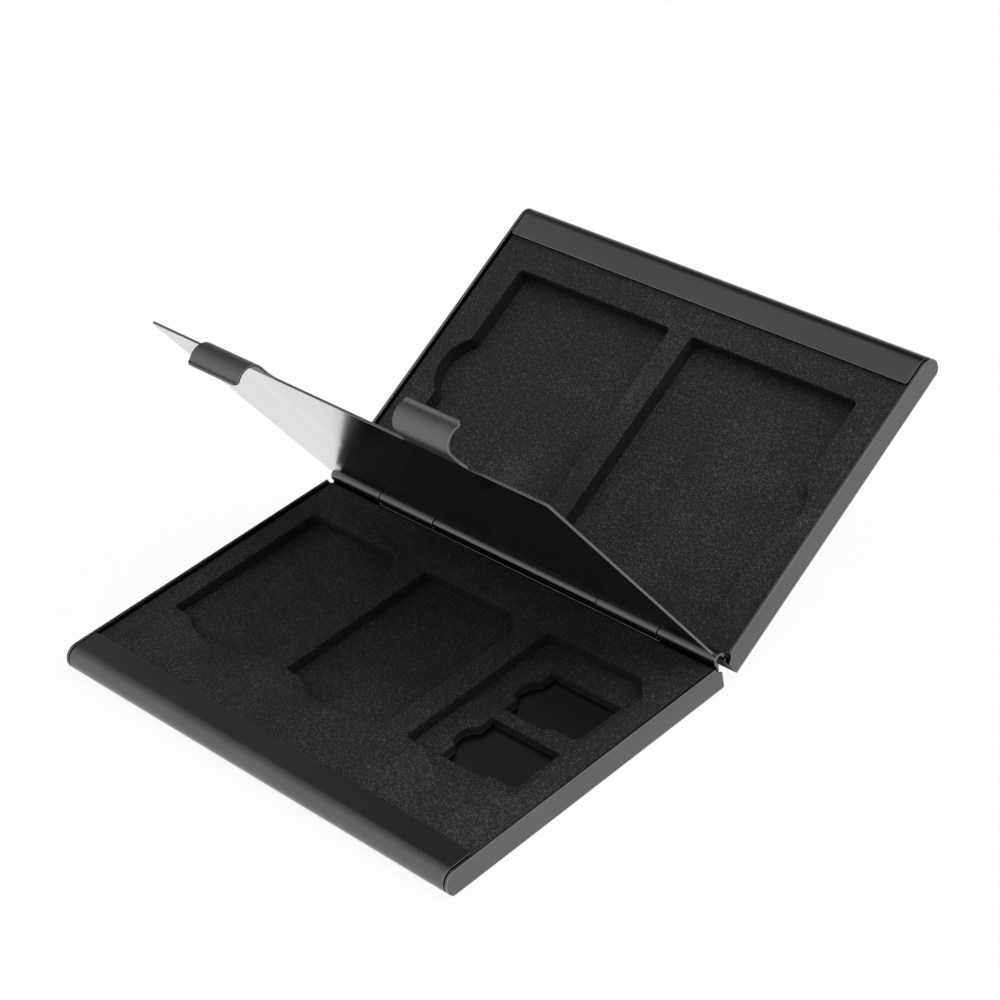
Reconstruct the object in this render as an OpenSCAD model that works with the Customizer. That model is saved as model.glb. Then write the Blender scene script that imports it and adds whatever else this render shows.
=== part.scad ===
// Slim metal case for memory cards, opened like a book.
// Two shallow sheet trays and a divider leaf turn on one hinge pin.
// Each tray holds a die-cut foam insert. The leaf has a spring clip for each tray's lip.
// Frame: X runs along the hinge, Y from the lower tray's lip towards its hinge, Z up.
// The origin is the middle of the lower tray's underside.

/* [Trays] */
// Length of each tray along the hinge
case_l = 93; // [92:0.5:110]
// Depth of each tray from the face of its lip to the hinge axis
tray_d = 61.3; // [58:0.1:75]
// Height of each tray from its underside to the top of its lip
tray_h = 4.75; // [4.65:0.05:6]
// Thickness of the tray sheet
sheet_t = 0.5; // [0.4:0.05:0.55]
// Inside radius of the folds round the floor
fold_r = 0.15; // [0.1:0.05:0.4]
// Width of the flat band that the rolled lip lays over the foam
lip_band = 6.5; // [4:0.1:8]
// Radius of the band's two foam-side corners
band_corner_r = 0.5; // [0.3:0.1:2]
// Slot between the ends of the lip and rear wall and the side walls
corner_slot = 0.35; // [0.15:0.05:0.5]

/* [Hinge] */
// Diameter of the hinge pin
pin_d = 1.45; // [1.2:0.05:1.8]
// Radial play of the pin in the knuckles
pin_play = 0.03; // [0.01:0.01:0.1]
// Width of the worked chamfer at each end of the pin
pin_chamfer = 0.15; // [0.05:0.05:0.3]
// Distance that each pin end lies inside the outer knuckle's end
pin_inset = 0.9; // [0:0.1:1.5]
// Distance from the hinge axis to the outside of each tray's rear wall, flat open
rear_offset = 0.45; // [0.3:0.05:0.6]
// Distance that the row of knuckles stops short of each end of the case
barrel_inset = 0.7; // [0.1:0.1:2]
// Length of each knuckle pitch at the two ends of the barrel
end_knuckle_l = 12.6; // [8:0.1:16]
// Length of the centre knuckle pitch, which is the leaf's
centre_knuckle_l = 39; // [20:0.5:50]
// Slot between neighbouring knuckles
knuckle_slot = 0.3; // [0.1:0.05:0.6]
// Clear space between a knuckle and the sheet cut back round it
knuckle_clear = 0.6; // [0.3:0.05:0.7]
// Clear space between the rear wall's top edge and the knuckles that turn over it
rear_clear = 0.06; // [0.05:0.01:0.3]
// Angle that each tray knuckle wraps round the pin past its tray's side
tray_wrap = 175; // [165:5:250]

/* [Divider leaf] */
// Thickness of the leaf sheet
leaf_t = 0.4; // [0.3:0.05:0.5]
// Clear space between the closed leaf and each tray
leaf_gap = 0.2; // [0.15:0.05:0.4]
// Distance from the hinge axis to the leaf's free edge
leaf_d = 56.4; // [45:0.1:57]
// Distance that the leaf stops short of each end of the case
leaf_side = 0.8; // [0.5:0.1:4]
// Radius of the leaf's free corners
leaf_corner_r = 0.8; // [0.3:0.1:3]
// Distance from the hinge axis at which the leaf steps aside to its knuckle
leaf_step_u = 2.4; // [2:0.1:3.5]
// Angle at which the leaf's knuckle ends, leaving its seam open
leaf_wrap_end = 355; // [330:1:360]
// Angle between the leaf and the lower tray as shown
leaf_open = 58; // [5:1:80]

/* [Spring clips] */
// Width of each clip along the hinge
clip_w = 12; // [6:0.5:20]
// Distance from the middle of the case to the middle of the lower tray's clip
lower_clip_x = 21.3; // [12:0.1:32]
// Distance from the middle of the case to the middle of the upper tray's clip
upper_clip_x = 22.2; // [12:0.1:32]
// Inside radius of the clip's rounded belly
clip_bend_r = 2.4; // [1.5:0.1:2.5]
// Angle at which the belly ends and the clip leans in under the lip
clip_lean = 22; // [10:1:25]
// Inside radius of the flared foot
clip_foot_r = 0.6; // [0.5:0.1:0.8]
// Angle through which the foot flares out
clip_flare = 70; // [50:5:80]
// Width of the cut corners of the foot
clip_corner = 0.6; // [0.3:0.1:1]
// Clear space between the clip and the lip that it swings past
clip_clear = 0.3; // [0.2:0.05:0.6]
// Height of the clip's foot above the closed tray's underside
clip_foot_up = 0.25; // [0.1:0.05:0.8]
// Radius of the fillets where a clip's tab leaves the leaf
tab_fillet = 1.5; // [0.5:0.1:3]

/* [Foam] */
// Clear space between the foam's edges and the walls round it
foam_side = 0.25; // [0.1:0.05:0.6]
// Clear space between the foam and the lip's band over it
foam_top_gap = 0.15; // [0.05:0.05:0.3]
// Thickness of the adhesive film under each foam insert
film_t = 0.1; // [0.05:0.05:0.2]
// Distance that the foam runs in under the lip's band
foam_tuck = 3.6; // [1:0.1:4]

/* [Lower pockets] */
// Width of each lower pocket along the hinge
small_w = 24; // [23:0.1:24.6]
// Length of each lower pocket from its hinge end to its lip end
small_l = 32.2; // [30:0.1:34]
// Depth of each lower pocket, which is its foam sheet's thickness
small_depth = 2.1; // [1.5:0.1:2.4]
// Spacing of the lower pockets along the hinge
small_pitch = 29; // [26:0.1:29.5]
// Distance from the hinge axis to the lower pockets
small_back = 9.6; // [6:0.1:12]
// Width of the cut corner of each lower pocket
small_cut = 3.4; // [1:0.1:5]
// Radius of the other corners of each lower pocket
small_corner_r = 0.8; // [0.3:0.1:2]
// Radius of the half-moon finger notch at each lower pocket's lip end
small_notch_r = 12; // [8:0.5:15]
// Distance that the finger notch reaches past its pocket
small_notch_out = 2.7; // [1:0.1:4]

/* [Stepped pockets] */
// Length of each stepped pocket along the hinge
step_l = 15.2; // [14:0.1:16]
// Width of each stepped pocket across the hinge
step_w = 11.2; // [10:0.1:12]
// Length of the wide end of a stepped pocket
step_wide_l = 8.8; // [6:0.1:11]
// Distance that the narrow end steps in
step_in = 1.1; // [0.5:0.1:2]
// Width of the cut corner at the narrow end
step_cut = 0.9; // [0.3:0.1:2]
// Distance from the side of the pocket above to the stepped pockets
step_side = 5.9; // [3:0.1:8]
// Distance from the pocket above's hinge end to the first stepped pocket
step_back = 5.5; // [2:0.1:8]
// Spacing of the two stepped pockets across the hinge
step_pitch = 13.8; // [12.5:0.1:16]
// Radius of the nail slot at the wide end of a stepped pocket
nail_r = 3.1; // [2:0.1:4.5]
// Distance that the nail slot reaches past its pocket
nail_out = 1.7; // [0.5:0.1:3]

/* [Upper pockets] */
// Width of each upper pocket along the hinge
large_w = 36.6; // [34:0.1:38]
// Length of each upper pocket from its hinge end to its lip end
large_l = 43; // [40:0.1:45]
// Depth of each upper pocket, which is its foam sheet's thickness
large_depth = 3; // [2.4:0.1:3.2]
// Spacing of the upper pockets along the hinge
large_pitch = 41.5; // [40:0.1:43]
// Distance from the hinge axis to the upper pockets
large_back = 6.1; // [4:0.1:9]
// Radius of the corners of each upper pocket
large_corner_r = 0.8; // [0.3:0.1:2]
// Radius of the half-moon finger notch at each upper pocket's outer side
large_notch_r = 7; // [4:0.5:10]
// Distance that the finger notch reaches past its pocket
large_notch_out = 3; // [1:0.1:4]

/* [Pose] */
// Angle that the upper tray is raised from flat open
upper_tilt = 27.5; // [0:0.5:60]

/* [Hidden] */
$fn = 64;

metal_colour = "#2d2d2f";
leaf_colour = "#1b1c22";
steel_colour = "#55565a";
foam_colour = "#39393a";
film_colour = "#8a8474";

half_l = case_l / 2;
inner_half = half_l - sheet_t;
span_half = inner_half - corner_slot;
bend_out = fold_r + sheet_t;
lip_r = tray_h / 2;
lip_y = tray_d - lip_r;

axis_z = tray_h + leaf_gap + leaf_t / 2;
hinge_y = tray_d / 2;
bore_r = pin_d / 2 + pin_play;
knuckle_r = bore_r + sheet_t;
clear_r = knuckle_r + knuckle_clear;
rear_reach = knuckle_r + rear_clear;
rear_top = axis_z - sqrt(rear_reach * rear_reach - rear_offset * rear_offset);
barrel_half = half_l - barrel_inset;
pin_half = barrel_half - pin_inset;
centre_half = centre_knuckle_l / 2;
end_start = barrel_half - end_knuckle_l;

leaf_half = half_l - leaf_side;
leaf_root = clear_r;
leaf_mid_r = bore_r + leaf_t / 2;
leaf_step_angle = acos(leaf_mid_r / leaf_step_u);
leaf_step_run = sqrt(leaf_step_u * leaf_step_u - leaf_mid_r * leaf_mid_r);

// Farthest reach of the lip from the hinge axis, which the clips swing past
lip_reach = norm([lip_y, axis_z - lip_r]) + lip_r;
clip_xs = [-lower_clip_x, upper_clip_x];
clip_bend_out = clip_bend_r + leaf_t;
clip_bend_z = clip_bend_out - leaf_t / 2;
// Length of flat tab drawn with each clip so that the two run into each other
clip_lead = 1;
foot_out = clip_foot_r + leaf_t;
clip_drop = axis_z - clip_foot_up;
foot_lift = (clip_bend_r + foot_out * (1 - cos(clip_flare))) * sin(clip_lean);
leg_l = (clip_drop - clip_bend_z - foot_lift) / cos(clip_lean) - foot_out * sin(clip_flare);
foot_z = clip_bend_z + (clip_bend_out + clip_foot_r) * sin(clip_lean) + leg_l * cos(clip_lean);
foot_reach = lip_reach + clip_clear + foot_out;
foot_u = sqrt(foot_reach * foot_reach - foot_z * foot_z);
clip_bend_u = foot_u - (clip_bend_out + clip_foot_r) * cos(clip_lean) + leg_l * sin(clip_lean);

film_z = sheet_t;
foam_z = film_z + film_t;
foam_top = tray_h - sheet_t - foam_top_gap;
lower_split = foam_top - small_depth;
upper_split = foam_top - large_depth;
foam_half = inner_half - foam_side;
foam_back = rear_offset + sheet_t + foam_side;
foam_front = tray_d - lip_band + foam_tuck;
insert_x = small_pitch - small_w / 2 + step_side;
insert_y = small_back + step_back;
eps = 0.01;

// Puts a tray-frame piece in the lower tray: y from the hinge, z from the underside
module in_lower_tray() {
    translate([0, hinge_y, 0])
        mirror([0, 1, 0])
            children();
}

// Puts a tray-frame piece in the upper tray, raised about the hinge axis
module in_upper_tray() {
    translate([0, hinge_y, axis_z])
        rotate([upper_tilt, 0, 0])
            translate([0, 0, -axis_z])
                children();
}

// Puts a leaf-frame piece at the hinge: y along the leaf, +z towards the lower tray
module in_leaf() {
    translate([0, hinge_y, axis_z])
        rotate([180 - leaf_open, 0, 0])
            children();
}

// Extrudes a section drawn in (y, z) along X from x0 to x1
module along_x(x0, x1) {
    translate([x0, 0, 0])
        rotate([90, 0, 90])
            linear_extrude(x1 - x0)
                children();
}

// Extrudes a section drawn in (x, z) along Y from y0 to y1
module along_y(y0, y1) {
    translate([0, y1, 0])
        rotate([90, 0, 0])
            linear_extrude(y1 - y0)
                children();
}

// Part of a ring between two angles
module ring_arc(r_in, r_out, from, to) {
    steps = ceil((to - from) / 60);
    far = 3 * r_out;
    fan = [for (i = [0:steps]) let (a = from + (to - from) * i / steps) far * [cos(a), sin(a)]];
    intersection() {
        difference() {
            circle(r_out);
            circle(r_in);
        }
        polygon(concat([[0, 0]], fan));
    }
}

// Rectangle with one rounding radius at all corners, from its low corner
module rounded(size, r) {
    translate([r, 0])
        square([size[0] - 2 * r, size[1]]);
    translate([0, r])
        square([size[0], size[1] - 2 * r]);
    for (x = [r, size[0] - r], y = [r, size[1] - r])
        translate([x, y])
            circle(r);
}

// Concave corner piece that lies in the first quadrant
module fillet_piece(r) {
    difference() {
        square(r);
        translate([r, r])
            circle(r);
    }
}

// Side wall seen along X, with its rounded front and the notch round the barrel
module side_outline() {
    difference() {
        union() {
            translate([rear_offset + bend_out, 0])
                square([lip_y - rear_offset - bend_out, tray_h]);
            translate([rear_offset, bend_out])
                square([bend_out + eps, tray_h - bend_out]);
            translate([rear_offset + bend_out, bend_out])
                circle(bend_out);
            translate([lip_y, lip_r])
                circle(lip_r);
        }
        translate([0, axis_z])
            circle(clear_r);
    }
}

// The two side walls in (x, z), with the folds that join them to the floor
module side_sections() {
    for (side = [0, 1])
        mirror([side, 0]) {
            translate([inner_half, bend_out])
                square([sheet_t, tray_h - bend_out]);
            translate([half_l - bend_out, bend_out])
                ring_arc(fold_r, bend_out, 270, 360);
        }
}

// Floor, rear wall and rolled lip in (y, z), as one bent strip
module strip_section() {
    translate([rear_offset + bend_out, 0])
        square([lip_y - rear_offset - bend_out, sheet_t]);
    translate([rear_offset + bend_out, bend_out])
        ring_arc(fold_r, bend_out, 180, 270);
    translate([rear_offset, bend_out])
        square([sheet_t, rear_top - bend_out]);
    translate([lip_y, lip_r])
        ring_arc(lip_r - sheet_t, lip_r, -90, 90);
    translate([tray_d - lip_band, tray_h - sheet_t])
        square([lip_band - lip_r, sheet_t]);
}

// Rear wall rising into its knuckle in (y, z)
module tray_knuckle_section() {
    mid_r = bore_r + sheet_t / 2;
    wall_mid = rear_offset + sheet_t / 2;
    meet_angle = acos(wall_mid / mid_r);
    meet_z = axis_z - mid_r * sin(meet_angle);
    translate([0, axis_z])
        ring_arc(bore_r, knuckle_r, -meet_angle, tray_wrap);
    translate([wall_mid, meet_z])
        circle(sheet_t / 2);
    translate([rear_offset, rear_top - sheet_t])
        square([sheet_t, meet_z - rear_top + sheet_t]);
}

// One tray with knuckles over the given spans of X
module tray(spans) {
    intersection() {
        along_y(0, tray_d)
            side_sections();
        along_x(-half_l - eps, half_l + eps)
            side_outline();
    }
    translate([-half_l + bend_out, rear_offset + bend_out, 0])
        cube([case_l - 2 * bend_out, lip_y - rear_offset - bend_out, sheet_t]);
    difference() {
        along_x(-span_half, span_half)
            strip_section();
        for (side = [0, 1])
            mirror([side, 0, 0])
                translate([-span_half, tray_d - lip_band, tray_h - sheet_t - eps])
                    linear_extrude(sheet_t + 2 * eps)
                        fillet_piece(band_corner_r);
    }
    for (span = spans)
        along_x(span[0], span[1])
            tray_knuckle_section();
}

// Outline of one lower pocket, from its hinge end, with its cut corner and notch
module small_pocket(cut_side) {
    difference() {
        translate([-small_w / 2, small_back])
            rounded([small_w, small_l], small_corner_r);
        translate([cut_side * small_w / 2, small_back])
            rotate(45)
                square(sqrt(2) * small_cut, center = true);
    }
    intersection() {
        translate([0, small_back + small_l + small_notch_out - small_notch_r])
            circle(small_notch_r);
        translate([-small_w / 2, small_back + small_l / 2])
            square([small_w, small_l]);
    }
}

// Outline of one stepped pocket, from the hinge side of its wide end, with its nail slot
module stepped_pocket() {
    polygon([
        [0, 0], [step_l, 0],
        [step_l, step_w - step_in - step_cut], [step_l - step_cut, step_w - step_in],
        [step_wide_l + step_in, step_w - step_in], [step_wide_l, step_w],
        [0, step_w]
    ]);
    intersection() {
        translate([nail_r - nail_out, step_w / 2])
            circle(nail_r);
        translate([-nail_out - eps, 0])
            square([nail_out + step_l / 2, step_w]);
    }
}

// The two stepped pockets where they lie under the third lower pocket
module stepped_pockets() {
    for (i = [0, 1])
        translate([insert_x, insert_y + i * step_pitch])
            stepped_pocket();
}

// Outline of one upper pocket, with a notch at its outer side
module large_pocket(outer_side) {
    translate([-large_w / 2, large_back])
        rounded([large_w, large_l], large_corner_r);
    translate([
        outer_side * (large_w / 2 + large_notch_out - large_notch_r),
        large_back + large_l / 2
    ])
        circle(large_notch_r);
}

// Plain foam or film sheet between two heights of a tray
module insert_sheet(z0, z1) {
    translate([-foam_half, foam_back, z0])
        cube([2 * foam_half, foam_front - foam_back, z1 - z0]);
}

// Cuts the stepped pockets through a sheet between two heights
module stepped_cut(z0, z1) {
    difference() {
        insert_sheet(z0, z1);
        translate([0, 0, z0 - eps])
            linear_extrude(z1 - z0 + 2 * eps)
                stepped_pockets();
    }
}

// Leaf plate seen square on, with its clip tabs and the hinge edge cut back
module leaf_outline() {
    difference() {
        union() {
            translate([-leaf_half, leaf_root])
                rounded([2 * leaf_half, leaf_d - leaf_root], leaf_corner_r);
            for (x = clip_xs)
                translate([x - clip_w / 2, leaf_d - leaf_corner_r])
                    square([clip_w, clip_bend_u - clip_lead / 2 - leaf_d + leaf_corner_r]);
            for (x = clip_xs, edge = [0, 1])
                translate([x, leaf_d])
                    mirror([edge, 0])
                        translate([clip_w / 2, 0])
                            fillet_piece(tab_fillet);
        }
        translate([-centre_half, 0])
            square([2 * centre_half, leaf_step_u]);
    }
}

// Leaf knuckle in (y, z): the sheet steps to its upper-tray side and rolls round the pin
module leaf_knuckle_section() {
    mirror([0, 1]) {
        ring_arc(bore_r, bore_r + leaf_t, leaf_step_angle, leaf_wrap_end);
        rotate(leaf_step_angle)
            translate([bore_r, -leaf_step_run])
                square([leaf_t, leaf_step_run + eps]);
        translate([leaf_step_u, 0])
            circle(leaf_t / 2);
    }
}

// Spring clip in (y, z), bent towards +z: tab's end, bend, leaning leg and flared foot
module clip_section() {
    translate([clip_bend_u, clip_bend_z]) {
        translate([-clip_lead, -clip_bend_out])
            square([clip_lead + eps, leaf_t]);
        ring_arc(clip_bend_r, clip_bend_out, -90, clip_lean);
        rotate(clip_lean) {
            translate([clip_bend_r, -eps])
                square([leaf_t, leg_l + 2 * eps]);
            translate([clip_bend_out + clip_foot_r, leg_l])
                ring_arc(clip_foot_r, foot_out, 180 - clip_flare, 180);
        }
    }
}

// One clip at the middle of the case, with the corners of its foot cut
module clip() {
    difference() {
        along_x(-clip_w / 2, clip_w / 2)
            clip_section();
        for (side = [-1, 1])
            along_y(foot_u - foot_out, foot_u + foot_out)
                translate([side * clip_w / 2, clip_drop])
                    rotate(45)
                        square(sqrt(2) * clip_corner, center = true);
    }
}

module lower_tray() {
    color(metal_colour)
        in_lower_tray()
            tray([
                [-barrel_half, -end_start - knuckle_slot / 2],
                [end_start + knuckle_slot / 2, barrel_half]
            ]);
}

module upper_tray() {
    color(metal_colour)
        in_upper_tray()
            tray([
                [-end_start + knuckle_slot / 2, -centre_half - knuckle_slot / 2],
                [centre_half + knuckle_slot / 2, end_start - knuckle_slot / 2]
            ]);
}

module hinge_pin() {
    color(steel_colour)
        translate([-pin_half, hinge_y, axis_z])
            rotate([0, 90, 0])
                rotate_extrude()
                    polygon([
                        [0, 0], [pin_d / 2 - pin_chamfer, 0], [pin_d / 2, pin_chamfer],
                        [pin_d / 2, 2 * pin_half - pin_chamfer],
                        [pin_d / 2 - pin_chamfer, 2 * pin_half], [0, 2 * pin_half]
                    ]);
}

module divider_leaf() {
    color(leaf_colour)
        in_leaf() {
            translate([0, 0, -leaf_t / 2])
                linear_extrude(leaf_t)
                    leaf_outline();
            along_x(-centre_half + knuckle_slot / 2, centre_half - knuckle_slot / 2)
                leaf_knuckle_section();
            translate([clip_xs[0], 0, 0])
                clip();
            translate([clip_xs[1], 0, 0])
                mirror([0, 0, 1])
                    clip();
        }
}

module lower_film() {
    color(film_colour)
        in_lower_tray()
            stepped_cut(film_z, foam_z);
}

module lower_foam_base() {
    color(foam_colour)
        in_lower_tray()
            stepped_cut(foam_z, lower_split);
}

module lower_foam_top() {
    color(foam_colour)
        in_lower_tray()
            difference() {
                insert_sheet(lower_split, foam_top);
                for (i = [-1:1])
                    translate([i * small_pitch, 0, lower_split - eps])
                        linear_extrude(small_depth + 2 * eps)
                            small_pocket(1);
            }
}

module upper_film() {
    color(film_colour)
        in_upper_tray()
            insert_sheet(film_z, foam_z);
}

module upper_foam_base() {
    color(foam_colour)
        in_upper_tray()
            insert_sheet(foam_z, upper_split);
}

module upper_foam_top() {
    color(foam_colour)
        in_upper_tray()
            difference() {
                insert_sheet(upper_split, foam_top);
                for (side = [-1, 1])
                    translate([side * large_pitch / 2, 0, upper_split - eps])
                        linear_extrude(large_depth + 2 * eps)
                            large_pocket(side);
            }
}

lower_tray();
lower_film();
lower_foam_base();
lower_foam_top();
hinge_pin();
divider_leaf();
upper_tray();
upper_film();
upper_foam_base();
upper_foam_top();
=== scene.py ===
import math

import bpy
import bmesh
from mathutils import Matrix, Vector


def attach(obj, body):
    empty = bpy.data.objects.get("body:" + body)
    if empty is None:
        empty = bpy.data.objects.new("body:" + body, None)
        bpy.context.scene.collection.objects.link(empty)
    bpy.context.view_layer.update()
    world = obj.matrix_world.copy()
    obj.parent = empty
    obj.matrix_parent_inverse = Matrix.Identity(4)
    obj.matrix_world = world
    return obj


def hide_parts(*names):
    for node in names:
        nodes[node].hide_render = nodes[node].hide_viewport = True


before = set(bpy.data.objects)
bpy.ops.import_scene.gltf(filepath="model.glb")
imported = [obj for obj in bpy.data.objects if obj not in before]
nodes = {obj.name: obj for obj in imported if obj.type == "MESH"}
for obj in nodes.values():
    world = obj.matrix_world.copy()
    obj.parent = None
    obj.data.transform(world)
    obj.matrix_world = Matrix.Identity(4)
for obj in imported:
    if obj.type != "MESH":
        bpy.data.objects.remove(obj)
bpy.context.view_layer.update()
mm = 0.001
samePoint = 1e-4  # millimetres between points that count as one
weldGap = 1e-7  # metres between corners that are merged
spare = 1.0  # how far a cutting piece reaches past what it cuts, in millimetres
print("frame loaded:", len(nodes), "nodes")

case = {  # sizes shared by several pieces, in millimetres, as in the part
    "length": 93.0,  # along the hinge
    "depth": 61.3,  # lip face to hinge axis
    "height": 4.75,  # underside to top of the lip
    "sheet": 0.5,
    "foldInside": 0.15,
    "hingeY": 30.65,
    "axisZ": 5.15,
    "rearOffset": 0.45,
    "pinPlay": 0.03,
    "pinDiameter": 1.45,
    "knuckleClear": 0.6,
    "rearClear": 0.06,
    "slot": 0.35,
    "upperTilt": 27.5,  # degrees above flat open
    "leafOpen": 58.0,  # degrees above the lower tray
}
boreR = case["pinDiameter"] / 2 + case["pinPlay"]
knuckleR = boreR + case["sheet"]
clearR = knuckleR + case["knuckleClear"]
halfLength = case["length"] / 2
foldOut = case["foldInside"] + case["sheet"]
lipR = case["height"] / 2
lipY = case["depth"] - lipR
rearTop = case["axisZ"] - math.sqrt((knuckleR + case["rearClear"]) ** 2 - case["rearOffset"] ** 2)

# Places of the lower tray, upper tray and leaf: x along the hinge, y away from it, z up from the tray
lowerPlace = Matrix.Translation((0, case["hingeY"] * mm, 0)) @ Matrix.Diagonal((1, -1, 1, 1))
upperPlace = (
    Matrix.Translation((0, case["hingeY"] * mm, case["axisZ"] * mm))
    @ Matrix.Rotation(math.radians(case["upperTilt"]), 4, "X")
    @ Matrix.Translation((0, 0, -case["axisZ"] * mm))
)
leafPlace = (
    Matrix.Translation((0, case["hingeY"] * mm, case["axisZ"] * mm))
    @ Matrix.Rotation(math.radians(180 - case["leafOpen"]), 4, "X")
)


class Field:  # wraps a node socket, so that arithmetic on it adds Math nodes
    def __init__(self, shop, socket):
        self.shop, self.socket = shop, socket

    def mathsWith(self, operation, *others):
        return self.shop.node("ShaderNodeMath", {"operation": operation}, self, *others)

    def __add__(self, other): return self.mathsWith("ADD", other)
    def __radd__(self, other): return self.mathsWith("ADD", other)
    def __sub__(self, other): return self.mathsWith("SUBTRACT", other)
    def __rsub__(self, other): return self.shop.node("ShaderNodeMath", {"operation": "SUBTRACT"}, other, self)
    def __mul__(self, other): return self.mathsWith("MULTIPLY", other)
    def __rmul__(self, other): return self.mathsWith("MULTIPLY", other)

    def ramp(self, low, high):  # 0 below low, 1 above high
        return self.shop.node(
            "ShaderNodeMapRange", {"interpolation_type": "SMOOTHSTEP"}, self, low, high, 0.0, 1.0
        )


class Shop:  # builds the nodes of one material, or of the world
    def __init__(self, owner, coordinates="Object"):
        self.owner = owner
        owner.use_nodes = True
        self.tree = owner.node_tree
        self.tree.nodes.clear()
        self.place = self.node("ShaderNodeTexCoord", {}, output=coordinates)

    def node(self, kind, settings, *inputs, output=0, **named):
        made = self.tree.nodes.new(kind)
        for key, value in settings.items():
            setattr(made, key, value)
        pairs = list(enumerate(inputs)) + [(key.replace("_", " "), v) for key, v in named.items()]
        for key, value in pairs:
            socket = made.inputs[key]
            if isinstance(value, Field):
                self.tree.links.new(value.socket, socket)
            elif value is not None:
                socket.default_value = value
        return Field(self, made.outputs[output]) if made.outputs else made

    def noise(self, scale, detail=3.0, roughness=0.55, where=None):
        return self.node(
            "ShaderNodeTexNoise", {}, Vector=where or self.place,
            Scale=scale, Detail=detail, Roughness=roughness,
        )

    def stretched(self, scale):  # object coordinates scaled by axis
        return self.node("ShaderNodeMapping", {}, Vector=self.place, Scale=scale)

    def mix(self, factor, first, second):  # colours by a 0 to 1 field
        between = [None] * 5  # the Mix node's sockets before its two colours
        return self.node("ShaderNodeMix", {"data_type": "RGBA"}, factor, *between, first, second, output=2)

    def raysOf(self, *kinds):  # 1 for rays of any of these kinds
        seen = None
        for kind in kinds:
            ray = self.node("ShaderNodeLightPath", {}, output=kind)
            seen = ray if seen is None else seen.mathsWith("MAXIMUM", ray)
        return seen

    def along(self, vector, axis):  # how far a vector goes along an axis
        return self.node(
            "ShaderNodeVectorMath", {"operation": "DOT_PRODUCT"}, vector, axis, output="Value"
        )

    def bump(self, height, distance, strength=1.0):
        return self.node(
            "ShaderNodeBump", {}, Height=height, Distance=distance, Strength=strength, output="Normal"
        )

    def finish(self, **sockets):
        shader = self.node("ShaderNodeBsdfPrincipled", {}, **sockets)
        self.node("ShaderNodeOutputMaterial", {}, shader)
        return self.owner


def grey(value, tint=(1.0, 1.0, 1.0)):
    return (value * tint[0], value * tint[1], value * tint[2], 1.0)


blackSurface = {  # what all the black metal shares
    "noiseDetail": 2.0, "grainRoughness": 0.6, "cloudRange": (0.35, 0.65), "cloudRoughness": 0.04,
    "grainStrength": 0.6, "satinRun": 0.8, "coatRoughness": 0.12, "coatIor": 1.7,
}


def anodisedMetal(name, look):  # glossy as far as "satinFrom" along the leaf, satin past it
    shop, shared = Shop(bpy.data.materials.new(name)), blackSurface
    cloud = shop.noise(look["cloudScale"], shared["noiseDetail"])
    stretched = shop.stretched(look["grainStretch"])
    grain = shop.noise(look["grainScale"], shared["noiseDetail"], shared["grainRoughness"], stretched)
    dark, light = grey(look["dark"], look["tint"]), grey(look["light"], look["tint"])
    tone = shop.mix(cloud.ramp(*shared["cloudRange"]), dark, light)
    roughness = look["roughness"] + (grain - 0.5) * look["roughnessSpread"]
    roughness = roughness + (cloud - 0.5) * shared["cloudRoughness"]
    coat = look["coat"]
    if "satinFrom" in look:
        outwards = leafPlace.to_3x3() @ Vector((0, 1, 0))
        start = look["satinFrom"] * mm + outwards.dot(leafPlace.translation)
        satin = shop.along(shop.place, outwards).ramp(start, start + shared["satinRun"] * mm)
        tone = shop.mix(satin, tone, grey(look["satinTone"]))
        roughness = satin * look["satinRoughness"] + roughness
        coat = (1.0 - satin) * coat
    return shop.finish(
        Base_Color=tone,
        Metallic=look["metallic"],
        Roughness=roughness,
        Coat_Weight=coat,
        Coat_Roughness=shared["coatRoughness"],
        Coat_IOR=shared["coatIor"],
        Normal=shop.bump(grain, look["grainDepth"], shared["grainStrength"]),
    )


trayFinish = {
    "cloudScale": 55.0, "grainScale": 5200.0, "grainStretch": (0.4, 1.0, 1.0),
    "dark": 0.128, "light": 0.138, "tint": (1.0, 1.0, 1.01), "metallic": 1.0,
    "roughness": 0.3, "roughnessSpread": 0.10, "grainDepth": 0.000004, "coat": 0.0,
}
leafFinish = {
    "cloudScale": 40.0, "grainScale": 4200.0, "grainStretch": (0.25, 1.0, 1.0),
    "dark": 0.05, "light": 0.056, "tint": (0.95, 0.98, 1.12), "metallic": 1.0,
    "roughness": 0.17, "roughnessSpread": 0.06, "grainDepth": 0.000002, "coat": 1.0,
    "satinFrom": 56.0, "satinTone": 0.157, "satinRoughness": 0.3,
}
edgeWearAndHighlight = {"dark": 0.24, "light": 0.30, "coat": 0.0}  # lighter bevelled edges: partly the black worn thinner, partly a painted highlight
# the edge materials paint a highlight on the bevels, on top of some real wear
trayMetal = anodisedMetal("tray_black_anodised", trayFinish)
trayEdge = anodisedMetal("tray_edges", trayFinish | edgeWearAndHighlight)
leafMetal = anodisedMetal("leaf_black_anodised", leafFinish)
leafEdge = anodisedMetal("leaf_edges", trayFinish | edgeWearAndHighlight)


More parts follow.
